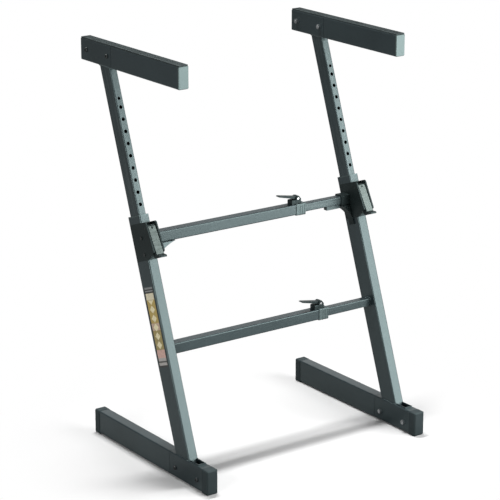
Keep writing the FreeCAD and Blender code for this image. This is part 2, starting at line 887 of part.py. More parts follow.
def lock_spring(side):
    seat = pin_collar_out + pin_collar_thickness + spring_end_gap + spring_wire_radius
    length = bridge_out - spring_end_gap - spring_wire_radius - seat
    straight = 2 * spring_wire_radius
    pitch = length / (spring_turns + 2 * straight / (2 * math.pi * spring_radius))
    quarters = 4 * spring_turns
    edges = []
    first = coil_point(0, pitch)
    first_way = coil_heading(0, pitch)
    edges.append(Part.makeLine(first - first_way * straight, first))
    for index in range(quarters):
        here = index / 4
        there = (index + 1) / 4
        edges += biarc(coil_point(here, pitch), coil_heading(here, pitch),
                       coil_point(there, pitch), coil_heading(there, pitch))
    last = coil_point(spring_turns, pitch)
    last_way = coil_heading(spring_turns, pitch)
    edges.append(Part.makeLine(last, last + last_way * straight))
    path = Part.Wire(edges)
    ring = Part.Wire(Part.makeCircle(spring_wire_radius, first - first_way * straight, first_way))
    coil = path.makePipeShell([ring], True, False)
    print("spring gap to itself", round(least_coil_gap(pitch), 3))
    coil.rotate(origin, x_way, 90)
    coil.translate(FreeCAD.Vector(0, -seat, lock_up))
    return leaned(coil, side)


def least_coil_gap(pitch):
    # Measured from the wire's points on one turn to those half a turn and more away
    least = pitch
    for index in range(spring_samples):
        here = coil_point(index / spring_samples, pitch)
        for other in range(spring_samples):
            there = coil_point(0.5 + (index + other) / spring_samples, pitch)
            least = min(least, (there - here).Length)
    return least - 2 * spring_wire_radius


# Crossbars

def crossbar(start, end, z, size, wall, corner):
    return section_tube(x_way, start, end, axis_y_at(z), z, size, size, corner, wall)


def outer_crossbar(z, end_x):
    bar = crossbar(-inner_face_x, end_x, z, outer_bar_size, outer_bar_wall, outer_bar_corner)
    return one_solid(bar.cut(pad_hole(z, end_x)))


def inner_crossbar(z):
    start = -inner_face_x + inner_bar_left_gap
    bar = crossbar(start, inner_face_x, z, inner_bar_size, inner_bar_wall, inner_bar_corner)
    swage_size = outer_bar_size - 2 * (outer_bar_wall + slide_clearance)
    bore = inner_bar_size - 2 * inner_bar_wall
    swage_wall = (swage_size - bore) / 2
    swage = crossbar(start, start + inner_bar_swage, z, swage_size, swage_wall,
                     outer_bar_corner - outer_bar_wall)
    return bar.fuse(swage)


def upper_inner_crossbar():
    # The upper bar has a stiffening tongue beneath it where it enters its socket
    bar = inner_crossbar(upper_bar_z)
    start = inner_face_x - socket_length - tongue_length
    half = tongue_width / 2
    middle = axis_y_at(upper_bar_z)
    under = upper_bar_z - inner_bar_size / 2
    tongue = box(start, inner_face_x - socket_length, middle - half, middle + half,
                 under - tongue_height, under)
    return one_solid(bar.fuse(tongue))


def pad_hole(z, end_x):
    return rod(end_x - cam_inset, axis_y_at(z), z, z_way, outer_bar_size, pad_radius + pad_clearance)


def clamp_collar(z, end_x):
    # A plastic collar over the outer bar's end, with a sleeve that guides the inner bar
    middle = axis_y_at(z)
    outside = outer_bar_size + 2 * (fixed_clearance + collar_wall)
    seat = outer_bar_size + 2 * fixed_clearance
    sleeve_size = outer_bar_size - 2 * (outer_bar_wall + fixed_clearance)
    bore = inner_bar_size + 2 * slide_clearance
    body = section_bar(x_way, end_x - collar_grip, end_x + collar_lip, middle, z,
                       outside, outside, outer_bar_corner)
    seat_room = section_bar(x_way, end_x - collar_grip - overcut, end_x, middle, z,
                            seat, seat, outer_bar_corner)
    sleeve = section_bar(x_way, end_x - sleeve_length, end_x + collar_lip / 2, middle, z,
                         sleeve_size, sleeve_size, outer_bar_corner - outer_bar_wall)
    bore_room = section_bar(x_way, end_x - sleeve_length - overcut, end_x + collar_lip + overcut,
                            middle, z, bore, bore, inner_bar_corner)
    collar = body.cut(seat_room).fuse(sleeve).cut(bore_room)
    return one_solid(collar.cut(pad_hole(z, end_x)))


def clamp_body(z, end_x):
    # The black block on the bar's top, with two ears for the cam lever
    middle = axis_y_at(z)
    top = z + outer_bar_size / 2
    high = end_x - clamp_end_inset
    low = high - clamp_length
    half = clamp_width / 2
    step = end_x - collar_grip - fixed_clearance
    collar_top = top + fixed_clearance + collar_wall
    floor = box(low, high, middle - half, middle + half, top, collar_top + clamp_floor)
    block = box(low, low + clamp_block_length, middle - half, middle + half, top, top + clamp_block_height)
    block = block.makeFillet(clamp_block_round, edges_on_plane(block, z_way, top + clamp_block_height))
    body = floor.fuse(block)
    cam_x = end_x - cam_inset
    for way in (-1, 1):
        inside = middle + way * (half - clamp_ear)
        outside = middle + way * half
        ear = box(high - clamp_ear_length, high, min(inside, outside), max(inside, outside),
                  top, top + cam_height)
        cap = rod(cam_x, min(inside, outside), top + cam_height, y_way, clamp_ear, clamp_ear_round)
        body = body.fuse(ear).fuse(cap)
    collar_room = box(step, high + overcut, middle - outer_bar_size, middle + outer_bar_size,
                      top - overcut, collar_top)
    pin_hole = rod(cam_x, middle - outer_bar_size, top + cam_height, y_way,
                   2 * outer_bar_size, hinge_pin_radius + hinge_clearance)
    return one_solid(body.cut(collar_room).cut(pin_hole).cut(pad_hole(z, end_x)))


def cam_pin(z, end_x):
    top = z + outer_bar_size / 2
    half = clamp_width / 2
    return rod(end_x - cam_inset, axis_y_at(z) - half, top + cam_height, y_way, clamp_width,
               hinge_pin_radius)


def cam_lever(z, end_x):
    middle = axis_y_at(z)
    top = z + outer_bar_size / 2
    cam_x = end_x - cam_inset
    cam_z = top + cam_height
    half = clamp_width / 2 - clamp_ear - cam_side_gap
    hub = rod(cam_x, middle - half, cam_z - cam_throw, y_way, 2 * half, cam_radius)
    root = -cam_radius / 2
    neck = cam_lever_length - cam_lever_tip
    points = [
        (root, cam_lever_lift + cam_lever_root / 2),
        (neck, cam_lever_lift + cam_lever_tip / 2),
        (cam_lever_length, cam_lever_lift),
        (neck, cam_lever_lift - cam_lever_tip / 2),
        (root, cam_lever_lift - cam_lever_root / 2),
    ]
    corners = [FreeCAD.Vector(cam_x - along, middle - half, cam_z + up) for along, up in points]
    handle = outline_face(corners).extrude(FreeCAD.Vector(0, 2 * half, 0))
    handle.rotate(FreeCAD.Vector(cam_x, middle, cam_z), y_way, cam_lever_rise)
    lever = hub.fuse(handle)
    pin_hole = rod(cam_x, middle - clamp_width, cam_z, y_way, 2 * clamp_width,
                   hinge_pin_radius + hinge_clearance)
    return one_solid(lever.cut(pin_hole))


def clamp_pad(z, end_x):
    # The plunger between the cam and the inner bar
    middle = axis_y_at(z)
    top = z + outer_bar_size / 2
    cam_x = end_x - cam_inset
    low = z + inner_bar_size / 2 + pad_rest_gap
    seat = top + fixed_clearance + collar_wall + clamp_floor + pad_seat_gap
    high = top + cam_height - cam_throw - cam_radius - pad_cam_gap
    stem = rod(cam_x, middle, low, z_way, seat - low, pad_radius)
    head = rod(cam_x, middle, seat, z_way, high - seat, pad_head_radius)
    return one_solid(stem.fuse(head))


# Gussets under the upper crossbar

def gusset_face(reach, drop, bow_share, lip, rise, x_start, way, up, back):
    # A corner plate with a hollow curve and a short lip at each end of it
    def at(along, down):
        return FreeCAD.Vector(x_start + way * along, back, up - down)

    bow = bow_share * math.hypot(reach - lip, drop - lip)
    middle_along = (reach + lip) / 2 - bow * math.sqrt(0.5)
    middle_down = (drop + lip) / 2 - bow * math.sqrt(0.5)
    edges = [
        Part.makeLine(at(0, -rise), at(reach, -rise)),
        Part.makeLine(at(reach, -rise), at(reach, lip)),
        Part.Arc(at(reach, lip), at(middle_along, middle_down), at(lip, drop)).toShape(),
        Part.makeLine(at(lip, drop), at(0, drop)),
        Part.makeLine(at(0, drop), at(0, -rise)),
    ]
    return Part.Face(Part.Wire(edges))


def gusset(side, reach, drop, width, bow_share, underside):
    # A pressed web, open towards the bar and the upright, cut to the bar's underside
    way = -side
    start = way * upright_width / 2
    up = (underside - foot_top) / math.cos(lean)
    rise = width / 2 * math.tan(lean) + overcut
    outside = gusset_face(reach, drop, bow_share, gusset_lip, rise, start, way, up, -width / 2)
    outside = outside.extrude(FreeCAD.Vector(0, width, 0))
    hollow = gusset_face(reach - gusset_sheet, drop - gusset_sheet, bow_share, gusset_lip - gusset_sheet,
                         rise + overcut, start - way * overcut, way, up, -width / 2 + gusset_sheet)
    hollow = hollow.extrude(FreeCAD.Vector(0, width - 2 * gusset_sheet, 0))
    return leaned(outside.cut(hollow), side).common(below(underside))


def left_bar_gusset():
    underside = upper_bar_z - outer_bar_size / 2
    return one_solid(gusset(-1, gusset_reach, gusset_drop, gusset_width, gusset_bow, underside))


def right_bar_socket():
    size = inner_bar_size + 2 * (fixed_clearance + socket_wall)
    socket = section_tube(x_way, inner_face_x - socket_length, inner_face_x, axis_y_at(upper_bar_z),
                          upper_bar_z, size, size, outer_bar_corner, socket_wall)
    web = gusset(1, socket_gusset_reach, socket_gusset_drop, socket_gusset_width, socket_gusset_bow,
                 upper_bar_z - size / 2)
    return one_solid(socket.fuse(web))


def build_side(side, name):
    save(name + "_foot_bar", foot_bar(side))
    save(name + "_foot_shoe", foot_shoe(side))
    save(name + "_foot_caps", foot_caps(side))
    save(name + "_foot_bolts", bolts(side, foot_width, foot_bolt_places()))
    save(name + "_foot_nuts", nuts(side, foot_width, foot_bolt_places()))
    save(name + "_upright", upright(side))
    save(name + "_bushing", bushing(side))
    save(name + "_lock_housing", lock_housing(side))
    save(name + "_housing_screws", housing_screws(side))
    save(name + "_lock_lever", lock_lever(side))
    save(name + "_lever_plate", lever_plate(side))
    save(name + "_lever_pin", lever_pin(side))
    save(name + "_lock_pin", lock_pin(side))
    save(name + "_lock_spring", lock_spring(side))
    save(name + "_inner_tube", inner_tube(side))
    save(name + "_inner_glide", inner_glide(side))
    save(name + "_arm_shoe", arm_shoe(side))
    save(name + "_arm_bar", arm_bar(side))
    save(name + "_arm_caps", arm_caps(side))
    save(name + "_arm_pad", arm_pad(side))
    save(name + "_arm_bolts", bolts(side, arm_width, arm_bolt_places()))
    save(name + "_arm_nuts", nuts(side, arm_width, arm_bolt_places()))


def build_crossbar(name, z, end_x):
    save(name + "_outer_bar", outer_crossbar(z, end_x))
    save(name + "_collar", clamp_collar(z, end_x))
    save(name + "_clamp_body", clamp_body(z, end_x))
    save(name + "_cam_lever", cam_lever(z, end_x))
    save(name + "_cam_pin", cam_pin(z, end_x))
    save(name + "_clamp_pad", clamp_pad(z, end_x))


build_side(-1, "left")
build_side(1, "right")
build_crossbar("upper", upper_bar_z, upper_bar_end_x)
build_crossbar("lower", lower_bar_z, lower_bar_end_x)
save("upper_inner_bar", upper_inner_crossbar())
save("lower_inner_bar", one_solid(inner_crossbar(lower_bar_z)))
save("left_bar_gusset", left_bar_gusset())
save("right_bar_socket", right_bar_socket())
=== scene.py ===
import bmesh
import bpy
import json
import math
from mathutils import Matrix, Vector


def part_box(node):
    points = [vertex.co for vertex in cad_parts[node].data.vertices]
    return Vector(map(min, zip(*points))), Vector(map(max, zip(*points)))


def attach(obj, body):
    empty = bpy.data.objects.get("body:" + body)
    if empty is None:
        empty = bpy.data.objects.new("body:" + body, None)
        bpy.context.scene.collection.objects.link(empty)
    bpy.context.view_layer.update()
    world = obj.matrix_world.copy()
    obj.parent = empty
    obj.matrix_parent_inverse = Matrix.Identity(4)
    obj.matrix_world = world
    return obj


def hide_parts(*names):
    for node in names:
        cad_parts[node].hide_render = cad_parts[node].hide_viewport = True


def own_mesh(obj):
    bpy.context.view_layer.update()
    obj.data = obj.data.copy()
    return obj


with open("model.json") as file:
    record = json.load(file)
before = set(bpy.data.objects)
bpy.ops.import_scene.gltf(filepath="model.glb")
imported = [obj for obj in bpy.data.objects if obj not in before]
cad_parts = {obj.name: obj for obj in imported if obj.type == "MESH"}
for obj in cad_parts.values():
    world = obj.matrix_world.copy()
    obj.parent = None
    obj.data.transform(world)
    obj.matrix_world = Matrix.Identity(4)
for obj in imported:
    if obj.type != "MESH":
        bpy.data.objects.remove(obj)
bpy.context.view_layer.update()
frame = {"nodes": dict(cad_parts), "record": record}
nodes = frame["nodes"]
mm = 0.001
print("frame loaded,", len(nodes), "solid nodes")

stance = {
    "lean": math.radians(19.8),  # the uprights lean back from the vertical
    "footTop": 57.5 * mm,
    "frameX": 294 * mm,  # middle of each side frame
    "shoeToAxis": 78.8 * mm,  # from the foot tube's front end back to the upright's axis
}
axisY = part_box("left_foot_shoe")[0].y + stance["shoeToAxis"]


# local axes of a leaning upright: X across, -Y out to the player, Z along the tube
def uprightPlace(side):
    move = Matrix.Translation((side * stance["frameX"], axisY, stance["footTop"]))
    return move @ Matrix.Rotation(-stance["lean"], 4, "X")


# camera, taken from the corners of both side frames in the photograph

cameraSet = {
    "place": (-2.6597, -3.6821, 1.8397),
    "down": 17.05,  # degrees below the horizon
    "turn": -35.667,  # degrees from looking along +Y
    "lens": 149.13,
    "sensor": 36.0,
}


def makeCamera():
    data = bpy.data.cameras.new("photoCamera")
    data.lens = cameraSet["lens"]
    data.sensor_width = cameraSet["sensor"]
    camera = bpy.data.objects.new("photoCamera", data)
    camera.location = cameraSet["place"]
    tilt = math.radians(90 - cameraSet["down"])
    camera.rotation_euler = (tilt, 0, math.radians(cameraSet["turn"]))
    bpy.context.scene.collection.objects.link(camera)
    bpy.context.scene.camera = camera


makeCamera()
print("camera set")


# studio: soft boxes in front on the right, on the left, low behind and overhead, a pale floor

studio = {
    "frontPlace": (0.95, -1.38, 0.76),
    "frontSize": (1.5, 1.52),
    "frontPower": 45.0,
    "leftPlace": (-2.1, -0.75, 0.75),
    "leftSize": (1.1, 1.1),
    "leftPower": 24.0,
    "backPlace": (1.25, 1.75, 0.55),
    "backSize": (2.0, 0.9),
    "backPower": 4.0,
    "topPlace": (0.05, 0.56, 3.0),
    "topSize": (1.2, 0.28),
    "topPower": 104.0,
    "aim": (0.0, -0.05, 0.45),
    "worldFill": 0.08,
    "mirrorShare": 0.2,  # how much of the pale backdrop a reflection shows
    "floorHalf": 14.0,
    "floorSeen": 0.66,  # how pale the camera sees the floor
    "floorBounce": 0.2,  # how much light the floor gives back to the stand
    "fadeStart": 0.36,  # metres from the middle where the floor's shading begins to fade out
    "fadeEnd": 0.62,
}


def softBox(name, place, size, power):
    data = bpy.data.lights.new(name, "AREA")
    data.shape = "RECTANGLE"
    data.size, data.size_y = size
    data.energy = power
    lamp = bpy.data.objects.new(name, data)
    lamp.location = place
    toAim = Vector(studio["aim"]) - Vector(place)
    lamp.rotation_euler = toAim.to_track_quat("-Z", "Y").to_euler()
    bpy.context.scene.collection.objects.link(lamp)


# 1 for the camera and for a view through a clear piece, less in a reflection
def backdropMask(tree):
    rays = tree.nodes.new("ShaderNodeLightPath")
    mirrored = tree.nodes.new("ShaderNodeMath")
    mirrored.operation = "MULTIPLY"
    mirrored.inputs[1].default_value = studio["mirrorShare"]
    orMirrored = tree.nodes.new("ShaderNodeMath")
    orMirrored.operation = "MAXIMUM"
    orClear = tree.nodes.new("ShaderNodeMath")
    orClear.operation = "MAXIMUM"
    tree.links.new(rays.outputs["Is Glossy Ray"], mirrored.inputs[0])
    tree.links.new(rays.outputs["Is Camera Ray"], orMirrored.inputs[0])
    tree.links.new(mirrored.outputs["Value"], orMirrored.inputs[1])
    tree.links.new(orMirrored.outputs["Value"], orClear.inputs[0])
    tree.links.new(rays.outputs["Is Transmission Ray"], orClear.inputs[1])
    return orClear.outputs["Value"]


def makeFloorPaint():
    paint = bpy.data.materials.new("paleFloor")
    paint.use_nodes = True
    tree = paint.node_tree
    tree.nodes.clear()
    out = tree.nodes.new("ShaderNodeOutputMaterial")
    bounce = tree.nodes.new("ShaderNodeBsdfDiffuse")
    bounce.inputs["Color"].default_value = (studio["floorBounce"],) * 3 + (1,)
    seen = tree.nodes.new("ShaderNodeBsdfDiffuse")
    seen.inputs["Color"].default_value = (studio["floorSeen"],) * 3 + (1,)
    white = tree.nodes.new("ShaderNodeEmission")
    coords = tree.nodes.new("ShaderNodeTexCoord")
    reach = tree.nodes.new("ShaderNodeVectorMath")
    reach.operation = "LENGTH"
    fade = tree.nodes.new("ShaderNodeMapRange")
    fade.interpolation_type = "SMOOTHSTEP"
    fade.inputs["From Min"].default_value = studio["fadeStart"]
    fade.inputs["From Max"].default_value = studio["fadeEnd"]
    cameraView = tree.nodes.new("ShaderNodeMixShader")
    both = tree.nodes.new("ShaderNodeMixShader")
    tree.links.new(coords.outputs["Object"], reach.inputs[0])
    tree.links.new(reach.outputs["Value"], fade.inputs["Value"])
    tree.links.new(fade.outputs["Result"], cameraView.inputs["Fac"])
    tree.links.new(seen.outputs["BSDF"], cameraView.inputs[1])
    tree.links.new(white.outputs["Emission"], cameraView.inputs[2])
    tree.links.new(backdropMask(tree), both.inputs["Fac"])
    tree.links.new(bounce.outputs["BSDF"], both.inputs[1])
    tree.links.new(cameraView.outputs["Shader"], both.inputs[2])
    tree.links.new(both.outputs["Shader"], out.inputs["Surface"])
    return paint


def makeFloor():
    shape = bmesh.new()
    bmesh.ops.create_grid(shape, x_segments=1, y_segments=1, size=studio["floorHalf"])
    mesh = bpy.data.meshes.new("floor")
    shape.to_mesh(mesh)
    shape.free()
    mesh.materials.append(makeFloorPaint())
    floor = bpy.data.objects.new("floor", mesh)
    bpy.context.scene.collection.objects.link(floor)


def makeWorld():
    world = bpy.data.worlds.new("studioWorld")
    bpy.context.scene.world = world
    world.use_nodes = True
    tree = world.node_tree
    tree.nodes.clear()
    out = tree.nodes.new("ShaderNodeOutputWorld")
    fill = tree.nodes.new("ShaderNodeBackground")
    fill.inputs["Strength"].default_value = studio["worldFill"]
    fill.inputs["Color"].default_value = (1, 1, 1, 1)
    backdrop = tree.nodes.new("ShaderNodeBackground")
    backdrop.inputs["Color"].default_value = (1, 1, 1, 1)
    both = tree.nodes.new("ShaderNodeMixShader")
    tree.links.new(backdropMask(tree), both.inputs["Fac"])
    tree.links.new(fill.outputs["Background"], both.inputs[1])
    tree.links.new(backdrop.outputs["Background"], both.inputs[2])
    tree.links.new(both.outputs["Shader"], out.inputs["Surface"])


for word in ("front", "left", "back", "top"):
    softBox(word + "SoftBox", studio[word + "Place"], studio[word + "Size"], studio[word + "Power"])
makeFloor()
makeWorld()
bpy.context.scene.view_settings.view_transform = "Standard"
print("studio set")


# finishes

def newFinish(name):
    finish = bpy.data.materials.new(name)
    finish.use_nodes = True
    tree = finish.node_tree
    shader = tree.nodes["Principled BSDF"]
    coords = tree.nodes.new("ShaderNodeTexCoord")
    return finish, tree, shader, coords


def addNoise(tree, coords, scale, detail=2.0, longer=(1, 1, 1), turn=(0, 0, 0)):
    place = tree.nodes.new("ShaderNodeMapping")
    place.vector_type = "TEXTURE"  # so that it draws the noise out along the turned axes
    place.inputs["Rotation"].default_value = turn
    place.inputs["Scale"].default_value = longer
    noise = tree.nodes.new("ShaderNodeTexNoise")
    noise.inputs["Scale"].default_value = scale
    noise.inputs["Detail"].default_value = detail
    tree.links.new(coords.outputs["Object"], place.inputs["Vector"])
    tree.links.new(place.outputs["Vector"], noise.inputs["Vector"])
    return noise


def spread(tree, source, low, high, start=0.3, end=0.7):  # a noise value spread between two numbers
    span = tree.nodes.new("ShaderNodeMapRange")
    span.inputs["From Min"].default_value = start
    span.inputs["From Max"].default_value = end
    span.inputs["To Min"].default_value = low
    span.inputs["To Max"].default_value = high
    tree.links.new(source, span.inputs["Value"])
    return span.outputs["Result"]


def mixColour(tree, share, first, second):
    mix = tree.nodes.new("ShaderNodeMix")
    mix.data_type = "RGBA"
    tree.links.new(share, mix.inputs["Factor"])
    for socket, colour in ((mix.inputs[6], first), (mix.inputs[7], second)):
        if isinstance(colour, tuple):
            socket.default_value = colour + (1,)
        else:
            tree.links.new(colour, socket)
    return mix.outputs[2]


def addRoughness(tree, shader, source, smooth, rough):
    tree.links.new(spread(tree, source, smooth, rough), shader.inputs["Roughness"])


bumpStrength = 0.6


def addBump(tree, shader, height, depth):
    bump = tree.nodes.new("ShaderNodeBump")
    bump.inputs["Distance"].default_value = depth
    bump.inputs["Strength"].default_value = bumpStrength
    tree.links.new(height, bump.inputs["Height"])
    tree.links.new(bump.outputs["Normal"], shader.inputs["Normal"])


powderCoatLook = {
    "deep": (0.008, 0.013, 0.016),
    "light": (0.014, 0.022, 0.026),
    "cloudScale": 9.0,
    "fleck": (0.085, 0.1, 0.1),
    "fleckScale": 2600.0,
    "fleckSpan": (0.66, 0.74),  # noise values between which a fleck appears
    "smooth": 0.29,
    "rough": 0.4,
    "specular": 0.74,
    "tint": (0.74, 1.0, 1.0),
    "coat": 0.15,
    "coatRough": 0.3,
    "grainScale": 1500.0,
    "grainDepth": 0.00012,
    "rubbed": (0.13, 0.155, 0.155),
    "rubbedMost": 0.5,
    "streakScale": 520.0,
    "streakSpan": (0.52, 0.78),
    "alongRiser": ((1, 1, 60), (-stance["lean"], 0, 0)),  # how the streaks are drawn out and turned
    "alongBar": ((60, 1, 1), (0, 0, 0)),
}


# satin black paint with a fine orange peel and a few pale flecks
def powderCoat(name="powderCoat", rubbedAlong=None):
    look = powderCoatLook
    finish, tree, shader, coords = newFinish(name)
    cloud = addNoise(tree, coords, look["cloudScale"], 4.0)
    grain = addNoise(tree, coords, look["grainScale"], 3.0)
    fleck = addNoise(tree, coords, look["fleckScale"], 1.0)
    body = mixColour(tree, spread(tree, cloud.outputs["Fac"], 0, 1), look["deep"], look["light"])
    flecked = spread(tree, fleck.outputs["Fac"], 0, 1, *look["fleckSpan"])
    paint = mixColour(tree, flecked, body, look["fleck"])
    if rubbedAlong:  # fine streaks along the tube, where its guide rubs
        streak = addNoise(tree, coords, look["streakScale"], 3.0, *rubbedAlong)
        share = spread(tree, streak.outputs["Fac"], 0, look["rubbedMost"], *look["streakSpan"])
        paint = mixColour(tree, share, paint, look["rubbed"])
    tree.links.new(paint, shader.inputs["Base Color"])
    addRoughness(tree, shader, grain.outputs["Fac"], look["smooth"], look["rough"])
    shader.inputs["Specular IOR Level"].default_value = look["specular"]
    shader.inputs["Specular Tint"].default_value = look["tint"] + (1,)
    shader.inputs["Coat Weight"].default_value = look["coat"]
    shader.inputs["Coat Roughness"].default_value = look["coatRough"]
    addBump(tree, shader, grain.outputs["Fac"], look["grainDepth"])
    return finish


plasticCloudScale = 16.0
plasticLooks = {
    # name: deep colour, light colour, smoothest, roughest, specular, grain scale, grain depth
    "capRubber": ((0.013, 0.018, 0.02), (0.024, 0.031, 0.034), 0.5, 0.68, 0.4, 1100.0, 0.00025),
    "capPlastic": ((0.04, 0.055, 0.052), (0.06, 0.078, 0.074), 0.3, 0.42, 0.85, 1700.0, 0.0001),
    "padRubber": ((0.018, 0.022, 0.023), (0.032, 0.038, 0.039), 0.55, 0.72, 0.35, 1300.0, 0.0002),
    "guidePlastic": ((0.04, 0.055, 0.055), (0.06, 0.078, 0.078), 0.3, 0.42, 0.8, 1600.0, 0.0001),
    "lockPlastic": ((0.006, 0.009, 0.009), (0.011, 0.016, 0.016), 0.36, 0.5, 0.32, 1400.0, 0.00016),
}


def mouldedPlastic(name):
    deep, light, smooth, rough, specular, scale, depth = plasticLooks[name]
    finish, tree, shader, coords = newFinish(name)
    cloud = addNoise(tree, coords, plasticCloudScale, 4.0)
    grain = addNoise(tree, coords, scale, 2.0)
    body = mixColour(tree, spread(tree, cloud.outputs["Fac"], 0, 1), deep, light)
    tree.links.new(body, shader.inputs["Base Color"])
    addRoughness(tree, shader, grain.outputs["Fac"], smooth, rough)
    shader.inputs["Specular IOR Level"].default_value = specular
    shader.inputs["Specular Tint"].default_value = powderCoatLook["tint"] + (1,)
    addBump(tree, shader, grain.outputs["Fac"], depth)
    return finish


metalGrain = {
    "cloudScale": 60.0,
    "turnedScale": 900.0,
    "turnedLong": (1, 1, 0.2),
    "turnedDepth": 0.00005,
}
metalLooks = {
    # name: deep colour, light colour, smoothest, roughest, metallic
    "blackSteel": ((0.035, 0.04, 0.04), (0.07, 0.078, 0.078), 0.3, 0.48, 0.7),
    "zincSteel": ((0.42, 0.44, 0.45), (0.62, 0.64, 0.65), 0.24, 0.4, 1.0),
    "pinSteel": ((0.4, 0.41, 0.42), (0.58, 0.59, 0.6), 0.2, 0.34, 1.0),
    "springSteel": ((0.32, 0.32, 0.33), (0.5, 0.5, 0.5), 0.22, 0.36, 1.0),
    "padBrass": ((0.5, 0.36, 0.16), (0.68, 0.52, 0.27), 0.26, 0.42, 1.0),
}


def bareMetal(name):
    deep, light, smooth, rough, metallic = metalLooks[name]
    finish, tree, shader, coords = newFinish(name)
    cloud = addNoise(tree, coords, metalGrain["cloudScale"], 4.0)
    turned = addNoise(tree, coords, metalGrain["turnedScale"], 2.0, metalGrain["turnedLong"])
    body = mixColour(tree, spread(tree, cloud.outputs["Fac"], 0, 1), deep, light)
    tree.links.new(body, shader.inputs["Base Color"])
    addRoughness(tree, shader, turned.outputs["Fac"], smooth, rough)
    shader.inputs["Metallic"].default_value = metallic
    addBump(tree, shader, turned.outputs["Fac"], metalGrain["turnedDepth"])
    return finish


plateLook = {
    "deep": (0.09, 0.118, 0.11),
    "light": (0.14, 0.178, 0.168),
    "smooth": 0.32,
    "rough": 0.44,
    "metallic": 0.35,
    "brushScale": 320.0,
    "brushLong": (8, 1, 1),
    "brushDepth": 0.00004,
}


def leverPlatePaint():  # satin grey plate with fine brushing across it
    look = plateLook
    finish, tree, shader, coords = newFinish("leverPlatePaint")
    brushed = addNoise(tree, coords, look["brushScale"], 4.0, look["brushLong"])
    body = mixColour(tree, spread(tree, brushed.outputs["Fac"], 0, 1), look["deep"], look["light"])
    tree.links.new(body, shader.inputs["Base Color"])
    addRoughness(tree, shader, brushed.outputs["Fac"], look["smooth"], look["rough"])
    shader.inputs["Metallic"].default_value = look["metallic"]
    addBump(tree, shader, brushed.outputs["Fac"], look["brushDepth"])
    return finish


finishOf = {
    "black_powder_coat": powderCoat(),
    "cap_rubber": mouldedPlastic("capRubber"),
    "cap_plastic": mouldedPlastic("capPlastic"),
    "pad_rubber": mouldedPlastic("padRubber"),
    "guide_plastic": mouldedPlastic("guidePlastic"),
    "lock_plastic": mouldedPlastic("lockPlastic"),
    "black_steel": bareMetal("blackSteel"),
    "zinc_steel": bareMetal("zincSteel"),
    "pin_steel": bareMetal("pinSteel"),
    "spring_steel": bareMetal("springSteel"),
    "pad_brass": bareMetal("padBrass"),
    "lever_plate": leverPlatePaint(),
}
ownFinish = {  # pieces that differ from the rest of their kind
    "left_lever_pin": finishOf["black_steel"],
    "right_lever_pin": finishOf["black_steel"],
    "left_inner_tube": powderCoat("riserCoat", powderCoatLook["alongRiser"]),
    "upper_inner_bar": powderCoat("innerBarCoat", powderCoatLook["alongBar"]),
    "right_arm_bolts": finishOf["zinc_steel"],
    "right_foot_bolts": finishOf["zinc_steel"],
}
ownFinish["right_inner_tube"] = ownFinish["left_inner_tube"]
ownFinish["lower_inner_bar"] = ownFinish["upper_inner_bar"]


def paintNode(node, finish):
    piece = nodes[node]
    if not piece.data.materials:
        piece.data.materials.append(finish)
    for index in range(len(piece.data.materials)):
        piece.data.materials[index] = finish


for part in frame["record"]["subparts"]:
    paintNode(part["node"], ownFinish.get(part["node"], finishOf[part["material_slot"]]))
print("finishes set")


# shared steps of the detail pieces

quarterTurn = math.radians(90)
cutTolerance = 1e-7
facingUp = 0.99  # least upward part of the normal of a face that looks up


def placed(shape, name, finish, body):
    mesh = bpy.data.meshes.new(name)
    shape.to_mesh(mesh)
    shape.free()
    mesh.materials.append(finish)
    piece = bpy.data.objects.new(name, mesh)
    bpy.context.scene.collection.objects.link(piece)
    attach(piece, body)
    return piece


def moved(shape, verts, scale=(1, 1, 1), by=(0, 0, 0)):
    bmesh.ops.scale(shape, vec=scale, verts=verts)
    bmesh.ops.translate(shape, vec=by, verts=verts)


def vertsOf(extruded):
    return [item for item in extruded["geom"] if isinstance(item, bmesh.types.BMVert)]


def cutAcross(shape, x):  # a new edge loop in the plane at this x
    everything = shape.verts[:] + shape.edges[:] + shape.faces[:]
    bmesh.ops.bisect_plane(shape, geom=everything, dist=cutTolerance,
                           plane_co=(x, 0, 0), plane_no=(1, 0, 0))


# weld beads: overlapping flattened drops along each joint, under the same paint

weldLook = {
    "radius": 1.7 * mm,
    "step": 1.5 * mm,
    "flat": 0.55,  # how thin each drop is along the seam
    "waver": 0.12,  # how much the drops differ in size
    "paces": (2.7, 1.1),  # how fast their size changes from drop to drop
    "segments": 8,
    "rings": 6,
}


def weldBead(name, corners, body, closed=False):
    look = weldLook
    shape = bmesh.new()
    ends = corners[1:] + corners[:1] if closed else corners[1:]
    laid = 0
    for start, end in zip(corners, ends):
        run = end - start
        turn = run.to_track_quat("Z", "Y").to_matrix().to_4x4()
        drops = max(2, round(run.length / look["step"]))
        for drop in range(drops):
            first, second = look["paces"]
            waver = look["waver"] * math.sin(first * laid) * math.cos(second * laid)
            place = Matrix.Translation(start + run * (drop + 0.5) / drops) @ turn
            place = place @ Matrix.Diagonal((1, 1, look["flat"], 1))
            bmesh.ops.create_uvsphere(shape, u_segments=look["segments"], v_segments=look["rings"],
                                      radius=look["radius"] * (1 + waver), matrix=place)
            laid += 1
    for face in shape.faces:
        face.smooth = True
    placed(shape, name, finishOf["black_powder_coat"], body)


# the corners of a square seam on a side face of an upright
def squareRound(x, middleY, middleZ, half):
    return [Vector((x, middleY + across * half, middleZ + up * half))
            for across, up in ((-1, -1), (1, -1), (1, 1), (-1, 1))]


